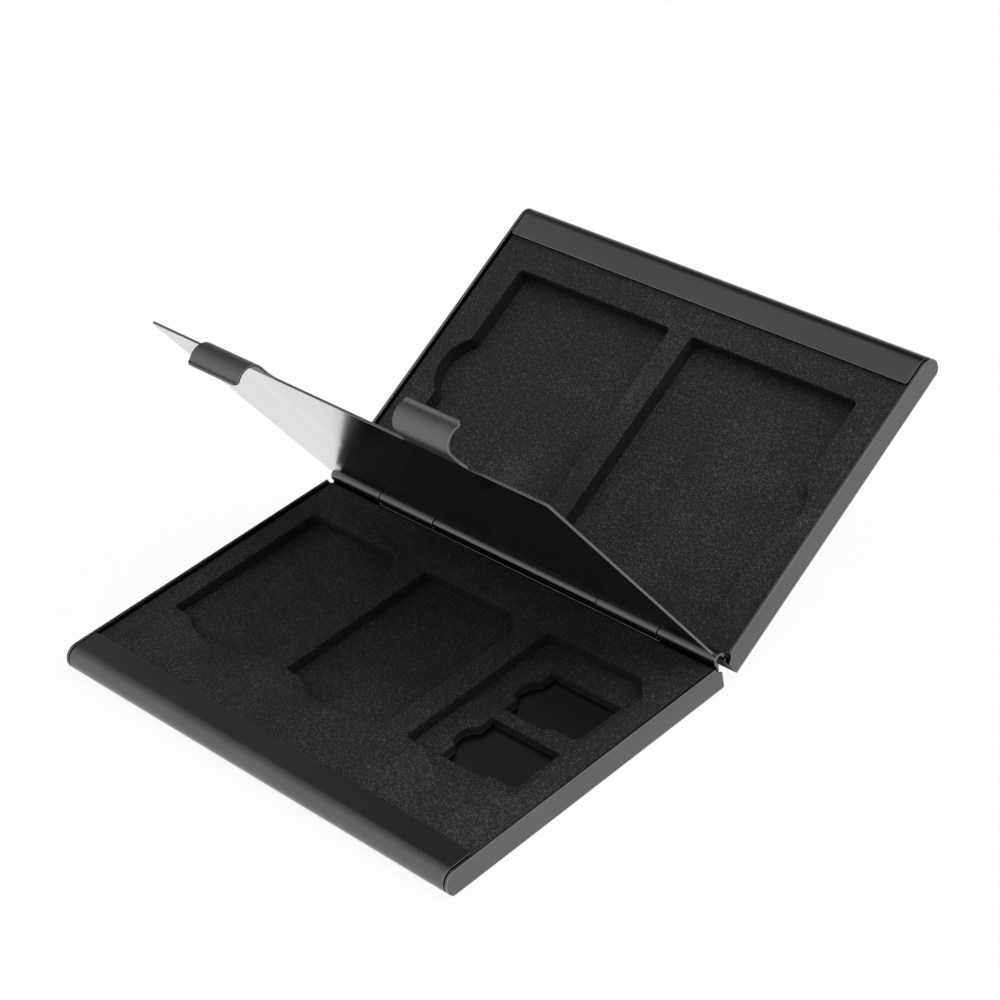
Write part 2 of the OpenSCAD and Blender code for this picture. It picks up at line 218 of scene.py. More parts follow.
def foamMaterial(name, look, place):  # sideways-facing cut walls get painted shade, darker than the top skin; partly also the open cells of a cut edge
    shop = Shop(bpy.data.materials.new(name))
    cells = shop.node(
        "ShaderNodeTexVoronoi", {"feature": "F1"}, Vector=shop.place,
        Scale=look["cellScale"], Randomness=1.0, output="Distance",
    )
    speck = shop.noise(look["speckScale"], look["noiseDetail"], look["speckRoughness"])
    cloud = shop.noise(look["cloudScale"], look["noiseDetail"])
    mottle = speck * look["speckShare"] + cells * look["cellShare"] + cloud * look["cloudShare"]
    tone = shop.mix(mottle.ramp(*look["mottleRange"]), grey(look["dark"]), grey(look["light"], look["tint"]))
    outward = shop.node("ShaderNodeTexCoord", {}, output="Normal")
    # painted shade: faces turned away from the tray's up direction are darkened, as shade on the pocket walls
    # and partly their open cells
    level = shop.along(outward, place.to_3x3() @ Vector((0, 0, 1))).mathsWith("ABSOLUTE")
    tone = shop.mix((1.0 - level.ramp(*look["levelRange"])) * look["cutShade"], tone, grey(look["cutCellsAndShadeTone"]))
    return shop.finish(
        Base_Color=tone,
        Metallic=0.0,
        Roughness=look["roughness"] + (speck - 0.5) * look["roughnessSpread"],
        Specular_IOR_Level=look["specular"],
        Normal=shop.bump(cells + speck * look["speckHeight"], look["cellDepth"], look["cellStrength"]),
    )


foamFinish = {
    "cellScale": 3600.0, "speckScale": 2300.0, "cloudScale": 60.0, "cellDepth": 0.00012,
    "dark": 0.017, "light": 0.075, "tint": (1.0, 1.0, 1.02), "cutCellsAndShadeTone": 0.005, "cutShade": 0.8,
    "noiseDetail": 3.0, "speckRoughness": 0.65, "speckShare": 0.6, "cellShare": 0.35, "cloudShare": 0.25,
    "mottleRange": (0.56, 0.84), "levelRange": (0.3, 0.85), "roughness": 0.86, "roughnessSpread": 0.12,
    "specular": 0.3, "speckHeight": 0.8, "cellStrength": 0.8,
}
lowerFoam = foamMaterial("lower_foam_charcoal", foamFinish, lowerPlace)
upperFoam = foamMaterial("upper_foam_charcoal", foamFinish, upperPlace)


def plainMetal(name, look):
    shop = Shop(bpy.data.materials.new(name))
    stretched = shop.stretched(look["grainStretch"])
    turned = shop.noise(look["grainScale"], look["noiseDetail"], look["noiseRoughness"], stretched)
    return shop.finish(
        Base_Color=shop.mix(turned.ramp(*look["grainRange"]), grey(look["dark"]), grey(look["light"])),
        Metallic=1.0,
        Roughness=look["roughness"] + (turned - 0.5) * look["roughnessSpread"],
    )


pinFinish = {
    "grainScale": 3000.0, "grainStretch": (1.0, 0.1, 0.1), "noiseDetail": 2.0, "noiseRoughness": 0.5,
    "grainRange": (0.3, 0.7), "dark": 0.20, "light": 0.27, "roughness": 0.32, "roughnessSpread": 0.1,
}
pinSteel = plainMetal("pin_steel", pinFinish)


def filmMaterial(name, look):
    shop = Shop(bpy.data.materials.new(name))
    smear = shop.noise(look["smearScale"], look["noiseDetail"])
    light = grey(look["light"], look["tint"])
    return shop.finish(
        Base_Color=shop.mix(smear.ramp(*look["smearRange"]), grey(look["dark"]), light),
        Roughness=look["roughness"] + (smear - 0.5) * look["roughnessSpread"],
        Normal=shop.bump(smear, look["smearDepth"], look["smearStrength"]),
    )


filmFinish = {
    "smearScale": 700.0, "noiseDetail": 4.0, "smearRange": (0.35, 0.7), "dark": 0.02, "light": 0.05,
    "tint": (1.0, 0.97, 0.9), "roughness": 0.5, "roughnessSpread": 0.2,
    "smearDepth": 0.00002, "smearStrength": 0.5,
}
filmGrey = filmMaterial("adhesive_film", filmFinish)
print("materials made")


# Fold paths and flat outlines are in millimetres, angles and their steps in degrees
def arcPoints(centre, radius, start, end, step=6.0):
    count = max(2, math.ceil(abs(end - start) / step))
    angles = [math.radians(start + (end - start) * i / count) for i in range(count + 1)]
    return [(centre[0] + radius * math.cos(a), centre[1] + radius * math.sin(a)) for a in angles]


def cleaned(points):  # drops points that repeat the one before
    kept = [points[0]]
    for p in points[1:]:
        if math.dist(p, kept[-1]) > samePoint:
            kept.append(p)
    return kept


def meshOf(name, verts, edges=(), faces=()):
    mesh = bpy.data.meshes.new(name)
    mesh.from_pydata([tuple(c * mm for c in v) for v in verts], edges, faces)
    return mesh


def prism(name, outline, low, high, axis):  # a flat outline made thick along X, Y or Z
    lift = {
        "X": lambda p, h: (h, p[0], p[1]),
        "Y": lambda p, h: (p[0], h, p[1]),
        "Z": lambda p, h: (p[0], p[1], h),
    }[axis]
    outline = cleaned(outline)
    if math.dist(outline[0], outline[-1]) < samePoint:
        outline.pop()
    count = len(outline)
    verts = [lift(p, low) for p in outline] + [lift(p, high) for p in outline]
    faces = [tuple(range(count)), tuple(range(2 * count - 1, count - 1, -1))]
    faces += [(i, i + count, (i + 1) % count + count, (i + 1) % count) for i in range(count)]
    mesh = meshOf(name, verts, (), faces)
    form = bmesh.new()
    form.from_mesh(mesh)
    bmesh.ops.recalc_face_normals(form, faces=form.faces)
    form.to_mesh(mesh)
    form.free()
    return newObject(name, mesh)


def newObject(name, data):
    made = bpy.data.objects.new(name, data)
    bpy.context.scene.collection.objects.link(made)
    return made


def evaluated(piece):  # the piece's modifiers turned into a plain mesh
    shown = piece.evaluated_get(bpy.context.evaluated_depsgraph_get())
    mesh = bpy.data.meshes.new_from_object(shown)
    piece.modifiers.clear()
    piece.data = mesh
    return piece


def combined(base, others, operation):  # boolean of whole pieces, one after another
    for other in others:
        step = base.modifiers.new("cut", "BOOLEAN")
        step.operation, step.object, step.solver = operation, other, "MANIFOLD"
        evaluated(base)
        bpy.data.objects.remove(other)
    return base


def bentSheetTree():  # a strip of sheet bent along a path, and repeated along the hinge
    tree = bpy.data.node_groups.new("bent sheet", "GeometryNodeTree")
    face = tree.interface
    face.new_socket("Geometry", in_out="INPUT", socket_type="NodeSocketGeometry")
    for name, kind in (
        ("Width", "NodeSocketFloat"), ("Thickness", "NodeSocketFloat"),
        ("Count", "NodeSocketInt"), ("Spacing", "NodeSocketFloat"), ("Material", "NodeSocketMaterial"),
    ):
        face.new_socket(name, in_out="INPUT", socket_type=kind)
    face.new_socket("Geometry", in_out="OUTPUT", socket_type="NodeSocketGeometry")
    new, link = tree.nodes.new, tree.links.new
    source, result = new("NodeGroupInput"), new("NodeGroupOutput")
    path = new("GeometryNodeMeshToCurve")
    section = new("GeometryNodeCurvePrimitiveQuadrilateral")
    sweep = new("GeometryNodeCurveToMesh")
    sweep.inputs["Fill Caps"].default_value = True
    row, shift, first = new("GeometryNodeMeshLine"), new("ShaderNodeCombineXYZ"), new("ShaderNodeCombineXYZ")
    gaps, span, halved = new("ShaderNodeMath"), new("ShaderNodeMath"), new("ShaderNodeMath")
    copies, real = new("GeometryNodeInstanceOnPoints"), new("GeometryNodeRealizeInstances")
    paint = new("GeometryNodeSetMaterial")
    gaps.operation, span.operation, halved.operation = "SUBTRACT", "MULTIPLY", "MULTIPLY"
    gaps.inputs[1].default_value = 1.0
    halved.inputs[1].default_value = -0.5  # the row starts half its length to the left
    link(source.outputs["Geometry"], path.inputs["Mesh"])
    link(source.outputs["Width"], section.inputs["Width"])
    link(source.outputs["Thickness"], section.inputs["Height"])
    link(path.outputs["Curve"], sweep.inputs["Curve"])
    link(section.outputs["Curve"], sweep.inputs["Profile Curve"])
    link(source.outputs["Count"], gaps.inputs[0])
    link(gaps.outputs[0], span.inputs[0])
    link(source.outputs["Spacing"], span.inputs[1])
    link(span.outputs[0], halved.inputs[0])
    link(halved.outputs[0], first.inputs["X"])
    link(source.outputs["Spacing"], shift.inputs["X"])
    link(source.outputs["Count"], row.inputs["Count"])
    link(first.outputs[0], row.inputs["Start Location"])
    link(shift.outputs[0], row.inputs["Offset"])
    link(row.outputs["Mesh"], copies.inputs["Points"])
    link(sweep.outputs["Mesh"], copies.inputs["Instance"])
    link(copies.outputs["Instances"], real.inputs["Geometry"])
    link(real.outputs["Geometry"], paint.inputs["Geometry"])
    link(source.outputs["Material"], paint.inputs["Material"])
    link(paint.outputs["Geometry"], result.inputs["Geometry"])
    return tree


bentSheet = bentSheetTree()


def setInputs(step, values):  # a modifier's inputs are set by their sockets' identifiers
    for item in step.node_group.interface.items_tree:
        if item.item_type == "SOCKET" and item.in_out == "INPUT" and item.name in values:
            step[item.identifier] = values[item.name]


def bentStrip(name, path, width, thickness, material, count=1, spacing=0.0):
    path = cleaned(path)
    edges = [(i, i + 1) for i in range(len(path) - 1)]
    strip = newObject(name, meshOf(name, [(0.0, p[0], p[1]) for p in path], edges))
    step = strip.modifiers.new("bent sheet", "NODES")
    step.node_group = bentSheet
    setInputs(step, {
        "Width": width * mm, "Thickness": thickness * mm, "Count": count,
        "Spacing": spacing * mm, "Material": material,
    })
    evaluated(strip)
    form = bmesh.new()
    form.from_mesh(strip.data)
    bmesh.ops.remove_doubles(form, verts=form.verts, dist=weldGap)
    bmesh.ops.recalc_face_normals(form, faces=form.faces)
    form.to_mesh(strip.data)
    form.free()
    return strip


edgeRule = {"sharp": 38.0, "flat": 0.4, "sliver": 1e-5, "segments": 2}  # degrees, degrees, metres, count


def crisped(piece, edge, finishes):  # rounds outer edges, in the second finish, which is lighter: partly wear, partly a painted highlight
    form = bmesh.new()
    form.from_mesh(piece.data)
    bmesh.ops.remove_doubles(form, verts=form.verts, dist=edgeRule["sliver"])
    bmesh.ops.dissolve_degenerate(form, dist=edgeRule["sliver"], edges=form.edges)
    flat = math.radians(edgeRule["flat"])
    bmesh.ops.dissolve_limit(form, angle_limit=flat, verts=form.verts, edges=form.edges)
    weight = form.edges.layers.float.new("bevel_weight_edge")
    for line in form.edges:
        line[weight] = float(line.calc_face_angle_signed(0.0) > math.radians(edgeRule["sharp"]))
    form.to_mesh(piece.data)
    form.free()
    piece.data.shade_smooth()
    piece.data.materials.clear()
    for finish in finishes:
        piece.data.materials.append(finish)
    bevel = piece.modifiers.new("edge", "BEVEL")
    bevel.width, bevel.segments, bevel.limit_method = edge * mm, edgeRule["segments"], "WEIGHT"
    bevel.material = 1
    bevel.use_clamp_overlap = False
    bevel.miter_outer = "MITER_ARC"
    bevel.harden_normals = True
    evaluated(piece)


def placed(piece, place):
    piece.data.transform(place)
    if place.determinant() < 0:
        piece.data.flip_normals()
    return piece


trayShape = {
    "lipBand": 6.5, "bandCorner": 0.5, "wrap": 175.0, "edge": 0.08,
    "rollRoot": 0.6, "wallFoot": 0.5, "cutterPast": 0.1,  # how far joined and cutting pieces overlap
    "lowerKnuckle": {"width": 12.45, "spacing": 79.15},
    "upperKnuckle": {"width": 13.4, "spacing": 52.7},
}


def trayPath():  # rear wall, floor, rolled lip and its band, along the middle of the sheet
    half = case["sheet"] / 2
    wall = case["rearOffset"] + half
    floorEnd = case["rearOffset"] + foldOut
    path = [(wall, rearTop)]
    path += arcPoints((floorEnd, foldOut), case["foldInside"] + half, 180, 270, 10)
    path += arcPoints((lipY, lipR), lipR - half, -90, 90, 5)
    path += [(case["depth"] - trayShape["lipBand"], case["height"] - half)]
    return path


def knucklePath():  # up the rear wall, out to the knuckle and round the pin
    half = case["sheet"] / 2
    wall, middle = case["rearOffset"] + half, boreR + half
    meet = math.degrees(math.acos(wall / middle))
    path = [(wall, rearTop - trayShape["rollRoot"]), (wall, rearTop)]
    path += arcPoints((0, case["axisZ"]), middle, -meet, trayShape["wrap"], 7)
    return path


def sideWalls(name):
    sheet, height = case["sheet"], case["height"]
    inner = halfLength - sheet
    foldX = halfLength - foldOut
    foot = foldX - trayShape["wallFoot"]
    section = [(foot, 0.0)] + arcPoints((foldX, foldOut), foldOut, -90, 0, 10)
    section += [(halfLength, height + spare), (inner, height + spare)]
    section += arcPoints((foldX, foldOut), case["foldInside"], 0, -90, 15) + [(foot, sheet)]
    notchTop = math.degrees(math.asin((height - case["axisZ"]) / clearR))
    notchEnd = -math.degrees(math.acos(case["rearOffset"] / clearR))
    outline = arcPoints((case["rearOffset"] + foldOut, foldOut), foldOut, 180, 270, 10)
    outline += arcPoints((lipY, lipR), lipR, -90, 90, 5)
    outline += arcPoints((0, case["axisZ"]), clearR, notchTop, notchEnd, 6)
    pair = []
    for side in (-1, 1):
        wall = prism(name + "_wall", [(side * x, z) for x, z in section], 0.0, case["depth"] + spare, "Y")
        low, high = sorted((side * (foldX - spare), side * (halfLength + spare)))
        ends = prism(name + "_ends", outline, low, high, "X")
        pair.append(combined(wall, [ends], "INTERSECT"))
    return pair


def buildTray(name, knuckle, place):
    span = 2 * (halfLength - case["sheet"] - case["slot"])
    tray = bentStrip(name, trayPath(), span, case["sheet"], trayMetal)
    rolls = bentStrip(
        name + "_rolls", knucklePath(), knuckle["width"], case["sheet"], trayMetal, 2, knuckle["spacing"]
    )
    tray = combined(tray, [rolls] + sideWalls(name), "UNION")
    corner, radius = case["depth"] - trayShape["lipBand"], trayShape["bandCorner"]
    past = trayShape["cutterPast"]
    bottom, top = case["height"] - case["sheet"] - past, case["height"] + past
    cutters = []
    for side in (-1, 1):  # rounds the band's two corners
        edge = side * span / 2
        within, beyond = edge - side * radius, edge + side * past
        turn = (0, -90) if side > 0 else (180, 270)
        outline = [(edge, corner + radius)] + arcPoints((within, corner + radius), radius, *turn, 15)
        outline += [(within, corner - spare), (beyond, corner - spare), (beyond, corner + radius)]
        cutters.append(prism(name + "_corner", outline, bottom, top, "Z"))
    tray = combined(tray, cutters, "DIFFERENCE")
    crisped(tray, trayShape["edge"], (trayMetal, trayEdge))
    return placed(tray, place)


lowerTray = buildTray("lowerTray", trayShape["lowerKnuckle"], lowerPlace)
upperTray = buildTray("upperTray", trayShape["upperKnuckle"], upperPlace)
print("trays folded")

leafShape = {
    "thickness": 0.4, "reach": 56.4, "side": 0.8, "corner": 0.8, "step": 2.4, "wrapEnd": 355.0,
    "centreKnuckle": 39.0, "knuckleSlot": 0.3, "clipWidth": 12.0, "clipX": (-21.3, 22.2),
    "belly": 2.4, "lean": 22.0, "foot": 0.6, "flare": 70.0, "footCorner": 0.6,
    "clearance": 0.3, "footUp": 0.25, "fillet": 1.5, "edge": 0.05,
    "tabRoot": 1.2, "tabPast": 0.3, "rollRoot": 0.8,  # how far joined pieces overlap
    "footReach": 1.2,  # half the length of the cutter at the foot's corners
}


def clipPath():  # tab, rounded belly, leaning leg and flared foot, along the middle of the sheet
    s = leafShape
    t, lean, flare = s["thickness"], math.radians(s["lean"]), math.radians(s["flare"])
    lipReach = math.hypot(lipY, case["axisZ"] - lipR) + lipR
    bendZ, footOut = s["belly"] + t / 2, s["foot"] + t
    drop = case["axisZ"] - s["footUp"]
    lift = (s["belly"] + footOut * (1 - math.cos(flare))) * math.sin(lean)
    leg = (drop - bendZ - lift) / math.cos(lean) - footOut * math.sin(flare)
    arm = s["belly"] + t + s["foot"]
    footZ = bendZ + arm * math.sin(lean) + leg * math.cos(lean)
    footU = math.sqrt((lipReach + s["clearance"] + footOut) ** 2 - footZ ** 2)
    bendU = footU - arm * math.cos(lean) + leg * math.sin(lean)
    path = [(s["reach"] - s["tabRoot"], 0.0)]
    path += arcPoints((bendU, bendZ), s["belly"] + t / 2, -90, s["lean"], 6)
    path += arcPoints((footU, footZ), s["foot"] + t / 2, 180 + s["lean"], 180 + s["lean"] - s["flare"], 9)
    return path, bendU, footU, drop


def leafOutline(bendU):
    s = leafShape
    half, reach, corner = halfLength - s["side"], s["reach"], s["corner"]
    knuckle = s["centreKnuckle"] / 2
    points = [(-knuckle, clearR), (-knuckle, s["step"]), (knuckle, s["step"]), (knuckle, clearR)]
    points += arcPoints((half - corner, clearR + corner), corner, -90, 0, 15)
    points += arcPoints((half - corner, reach - corner), corner, 0, 90, 15)
    for x in reversed(s["clipX"]):
        right, left, fillet = x + s["clipWidth"] / 2, x - s["clipWidth"] / 2, s["fillet"]
        points += arcPoints((right + fillet, reach + fillet), fillet, -90, -180, 10)
        points += [(right, bendU - s["tabPast"]), (left, bendU - s["tabPast"])]
        points += arcPoints((left - fillet, reach + fillet), fillet, 0, -90, 10)
    points += arcPoints((-half + corner, reach - corner), corner, 90, 180, 15)
    points += arcPoints((-half + corner, clearR + corner), corner, 180, 270, 15)
    return points


def leafKnucklePath():  # the sheet steps to the upper tray's side and rolls round the pin
    s = leafShape
    middle = boreR + s["thickness"] / 2
    stepAngle = math.degrees(math.acos(middle / s["step"]))
    path = [(s["step"] + s["rollRoot"], 0.0), (s["step"], 0.0)]
    path += arcPoints((0, 0), middle, -stepAngle, -s["wrapEnd"], 7)
    return path


def buildLeaf(name):
    s = leafShape
    t = s["thickness"]
    clip, bendU, footU, drop = clipPath()
    leaf = prism(name, leafOutline(bendU), -t / 2, t / 2, "Z")
    rollWidth = s["centreKnuckle"] - s["knuckleSlot"]
    parts = [bentStrip(name + "_roll", leafKnucklePath(), rollWidth, t, leafMetal)]
    for x, side in zip(s["clipX"], (1, -1)):
        path = [(u, side * w) for u, w in clip]
        made = bentStrip(name + "_clip", path, s["clipWidth"], t, leafMetal)
        made.data.transform(Matrix.Translation((x * mm, 0, 0)))
        cuts = []
        for end in (-1, 1):
            cx, cz, r = x + end * s["clipWidth"] / 2, side * drop, s["footCorner"]
            diamond = [(cx - r, cz), (cx, cz - r), (cx + r, cz), (cx, cz + r)]
            cuts.append(prism(name + "_cut", diamond, footU - s["footReach"], footU + s["footReach"], "Y"))
        parts.append(combined(made, cuts, "DIFFERENCE"))
    leaf = combined(leaf, parts, "UNION")
    crisped(leaf, s["edge"], (leafMetal, leafEdge))
    return placed(leaf, leafPlace)


dividerLeaf = buildLeaf("dividerLeaf")
print("leaf made")

foamShape = {
    "side": 0.25, "topGap": 0.15, "film": 0.1, "tuck": 3.6, "smallDepth": 2.1, "largeDepth": 3.0,
    "edge": 0.22, "edgeSegments": 3, "edgeSharp": 60.0, "normalWeight": 90,
    "wander": 0.07, "wanderScale": 450.0, "wanderDetail": 2.0, "spacing": 0.7, "seed": 4,
    "seam": 1e-6,  # metres within which the two faces' corners are joined to the cut edges
}
smallPocket = {
    "width": 24.0, "length": 32.2, "pitch": 29.0, "back": 9.6, "cut": 3.4, "corner": 0.8,
    "notchR": 12.0, "notchOut": 2.7,
}
steppedPocket = {
    "length": 15.2, "width": 11.2, "wide": 8.8, "stepIn": 1.1, "cut": 0.9, "side": 5.9,
    "back": 5.5, "pitch": 13.8, "nailR": 3.1, "nailOut": 1.7,
}
largePocket = {
    "width": 36.6, "length": 43.0, "pitch": 41.5, "back": 6.1, "corner": 0.8,
    "notchR": 7.0, "notchOut": 3.0,
}


def smallOutline(cx):
    p = smallPocket
    half, low, high, c = p["width"] / 2, p["back"], p["back"] + p["length"], p["corner"]
    centre = high + p["notchOut"] - p["notchR"]
    reach = math.degrees(math.acos((high - centre) / p["notchR"]))
    points = arcPoints((cx - half + c, low + c), c, 180, 270, 20)
    points += [(cx + half - p["cut"], low), (cx + half, low + p["cut"])]
    points += arcPoints((cx + half - c, high - c), c, 0, 90, 20)
    points += arcPoints((cx, centre), p["notchR"], 90 - reach, 90 + reach, 5)
    points += arcPoints((cx - half + c, high - c), c, 90, 180, 20)
    return points


def steppedOutline(index):
    p = steppedPocket
    x = smallPocket["pitch"] - smallPocket["width"] / 2 + p["side"]
    y = smallPocket["back"] + p["back"] + index * p["pitch"]
    narrow = p["width"] - p["stepIn"]
    inset = p["nailR"] - p["nailOut"]
    reach = math.degrees(math.acos(inset / p["nailR"]))
    points = [(x, y), (x + p["length"], y), (x + p["length"], y + narrow - p["cut"]),
              (x + p["length"] - p["cut"], y + narrow), (x + p["wide"] + p["stepIn"], y + narrow),
              (x + p["wide"], y + p["width"]), (x, y + p["width"])]
    nail = (x + p["nailR"] - p["nailOut"], y + p["width"] / 2)
    points += arcPoints(nail, p["nailR"], 180 - reach, 180 + reach, 9)
    return points


def largeOutline(side):
    p = largePocket
    cx, half, c = side * p["pitch"] / 2, p["width"] / 2, p["corner"]
    low, high = p["back"], p["back"] + p["length"]
    middle = (low + high) / 2
    centre = half + p["notchOut"] - p["notchR"]
    reach = math.degrees(math.acos((half - centre) / p["notchR"]))
    points = arcPoints((-half + c, low + c), c, 180, 270, 20) + arcPoints((half - c, low + c), c, -90, 0, 20)
    points += arcPoints((centre, middle), p["notchR"], -reach, reach, 6)
    points += arcPoints((half - c, high - c), c, 0, 90, 20) + arcPoints((-half + c, high - c), c, 90, 180, 20)
    return [(cx + side * x, y) for x, y in points]


def dieCutTree():  # outlines filled, made thick, with cut edges that wander a little
    tree = bpy.data.node_groups.new("die-cut foam", "GeometryNodeTree")
    face = tree.interface
    face.new_socket("Geometry", in_out="INPUT", socket_type="NodeSocketGeometry")
    for name, kind in (
        ("Thickness", "NodeSocketFloat"), ("Wander", "NodeSocketFloat"),
        ("Seed", "NodeSocketFloat"), ("Material", "NodeSocketMaterial"),
    ):
        face.new_socket(name, in_out="INPUT", socket_type=kind)
    face.new_socket("Geometry", in_out="OUTPUT", socket_type="NodeSocketGeometry")
    new, link = tree.nodes.new, tree.links.new
    source, result = new("NodeGroupInput"), new("NodeGroupOutput")
    lines, fill = new("GeometryNodeMeshToCurve"), new("GeometryNodeFillCurve")
    fill.mode = "NGONS"
    shake, noise = new("GeometryNodeSetPosition"), new("ShaderNodeTexNoise")
    centred, sized = new("ShaderNodeVectorMath"), new("ShaderNodeVectorMath")
    noise.noise_dimensions = "4D"
    noise.inputs["Scale"].default_value = foamShape["wanderScale"]
    noise.inputs["Detail"].default_value = foamShape["wanderDetail"]
    centred.operation, sized.operation = "SUBTRACT", "MULTIPLY"
    centred.inputs[1].default_value = (0.5, 0.5, 0.5)
    flat, up = new("ShaderNodeCombineXYZ"), new("ShaderNodeCombineXYZ")
    thick, flip = new("GeometryNodeExtrudeMesh"), new("GeometryNodeFlipFaces")
    join, weld = new("GeometryNodeJoinGeometry"), new("GeometryNodeMergeByDistance")
    real, paint = new("GeometryNodeRealizeInstances"), new("GeometryNodeSetMaterial")
    thick.mode = "FACES"
    thick.inputs["Individual"].default_value = False
    weld.inputs["Distance"].default_value = foamShape["seam"]
    link(source.outputs["Geometry"], lines.inputs["Mesh"])
    link(lines.outputs["Curve"], shake.inputs["Geometry"])
    link(source.outputs["Seed"], noise.inputs["W"])
    link(noise.outputs["Color"], centred.inputs[0])
    link(centred.outputs[0], sized.inputs[0])
    for axis in ("X", "Y"):
        link(source.outputs["Wander"], flat.inputs[axis])
    link(flat.outputs[0], sized.inputs[1])
    link(sized.outputs[0], shake.inputs["Offset"])
    link(shake.outputs["Geometry"], fill.inputs["Curve"])
    link(fill.outputs["Mesh"], thick.inputs["Mesh"])
    link(fill.outputs["Mesh"], flip.inputs["Mesh"])
    link(source.outputs["Thickness"], up.inputs["Z"])
    link(up.outputs[0], thick.inputs["Offset"])
    link(thick.outputs["Mesh"], join.inputs["Geometry"])
    link(flip.outputs["Mesh"], join.inputs["Geometry"])
    link(join.outputs["Geometry"], weld.inputs["Geometry"])
    link(weld.outputs["Geometry"], real.inputs["Geometry"])
    link(real.outputs["Geometry"], paint.inputs["Geometry"])
    link(source.outputs["Material"], paint.inputs["Material"])
    link(paint.outputs["Geometry"], result.inputs["Geometry"])
    return tree


dieCut = dieCutTree()


def finely(outline, spacing):  # a closed outline with points no farther apart than spacing
    outline = cleaned(outline + [outline[0]])
    points = []
    for a, b in zip(outline, outline[1:]):
        steps, dx, dy = max(1, round(math.dist(a, b) / spacing)), b[0] - a[0], b[1] - a[1]
        points += [(a[0] + dx * i / steps, a[1] + dy * i / steps) for i in range(steps)]
    return points


def foamSheet(name, low, high, pockets, place, material):
    f = foamShape
    half = halfLength - case["sheet"] - f["side"]
    back = case["rearOffset"] + case["sheet"] + f["side"]
    front = case["depth"] - trayShape["lipBand"] + f["tuck"]
    outlines = [[(-half, back), (half, back), (half, front), (-half, front)]] + pockets
    verts, edges = [], []
    for outline in outlines:
        fine = finely(outline, f["spacing"])
        start = len(verts)
        verts += [(x, y, low) for x, y in fine]
        edges += [(start + i, start + (i + 1) % len(fine)) for i in range(len(fine))]
    sheet = newObject(name, meshOf(name, verts, edges))
    step = sheet.modifiers.new("die-cut foam", "NODES")
    step.node_group = dieCut
    setInputs(step, {
        "Thickness": (high - low) * mm, "Wander": f["wander"] * mm,
        "Seed": float(f["seed"]), "Material": material,
    })
    evaluated(sheet)
    form = bmesh.new()
    form.from_mesh(sheet.data)
    bmesh.ops.remove_doubles(form, verts=form.verts, dist=weldGap)
    for vert in form.verts:  # the fill flattens the outline's height, so it goes back here
        vert.co.z = (high if vert.co.z > (high - low) / 2 * mm else low) * mm
    bmesh.ops.recalc_face_normals(form, faces=form.faces)
    form.to_mesh(sheet.data)
    form.free()
    bevel = sheet.modifiers.new("edge", "BEVEL")
    bevel.width, bevel.segments, bevel.limit_method = f["edge"] * mm, f["edgeSegments"], "ANGLE"
    bevel.angle_limit = math.radians(f["edgeSharp"])
    bevel.use_clamp_overlap = False
    evaluated(sheet)
    sheet.data.shade_smooth()
    even = sheet.modifiers.new("even", "WEIGHTED_NORMAL")
    even.weight = f["normalWeight"]
    evaluated(sheet)
    return placed(sheet, place)


foamZ = case["sheet"] + foamShape["film"]
foamTop = case["height"] - case["sheet"] - foamShape["topGap"]
lowerSplit, upperSplit = foamTop - foamShape["smallDepth"], foamTop - foamShape["largeDepth"]
stepped = [steppedOutline(i) for i in (0, 1)]
lowerFoamBase = foamSheet("lowerFoamBase", foamZ, lowerSplit, stepped, lowerPlace, lowerFoam)
small = [smallOutline(i * smallPocket["pitch"]) for i in (-1, 0, 1)]
lowerFoamTop = foamSheet("lowerFoamTop", lowerSplit, foamTop, small, lowerPlace, lowerFoam)
upperFoamBase = foamSheet("upperFoamBase", foamZ, upperSplit, [], upperPlace, upperFoam)
large = [largeOutline(s) for s in (-1, 1)]
upperFoamTop = foamSheet("upperFoamTop", upperSplit, foamTop, large, upperPlace, upperFoam)
print("foam cut")

riders = (  # piece, its body, its finish in the record, the solid that it stands for
    (lowerTray, "base", "tray_metal", "lower_tray"),
    (lowerFoamBase, "base", "foam", "lower_foam_base"),
    (lowerFoamTop, "base", "foam", "lower_foam_top"),
    (dividerLeaf, "leaf", "leaf_metal", "divider_leaf"),
    (upperTray, "cover", "tray_metal", "upper_tray"),
    (upperFoamBase, "cover", "foam", "upper_foam_base"),
    (upperFoamTop, "cover", "foam", "upper_foam_top"),
)
for piece, body, slot, node in riders:
    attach(piece, body)
    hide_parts(node)

for node, material in (("hinge_pin", pinSteel), ("lower_film", filmGrey), ("upper_film", filmGrey)):
    for index in range(len(nodes[node].material_slots)):
        nodes[node].material_slots[index].material = material
print("pieces ride on their bodies")

stageSettings = {
    "size": 6.0, "drop": 0.00002, "floor": 0.9, "white": 1.0, "shadowShare": 0.06,
    "darkFront": (-0.0300, -0.0285), "darkRear": (0.036, 0.042),  # floor below the case, in metres
    "darkSeen": (0.0405, 0.0425), "darkMirrored": (0.0455, 0.0468),
}
lampSettings = {
    "key": {"place": (0.55, 0.30, 0.95), "target": (0, 0.02, 0.01), "size": 1.1, "power": 11.2},
}
worldSettings = {
    "light": 0.40, "dimAxis": Vector((-0.42, 0.60, 0.68)).normalized(), "dimmest": 0.03,
    "dimSteps": ((14.0, 28.0, 0.32), (28.0, 48.0, 0.24), (48.0, 75.0, 0.38)),
}
cameraSettings = {
    "eye": (308.74, case["hingeY"] - 251.00, 290.40), "look": (-0.64156, 0.51890, -0.56492),
    "right": (0.69437, 0.70582, -0.14025), "focal": 2927.3, "sensor": 36.0, "frame": 1000.0,
    "near": 0.01, "far": 20.0,
}


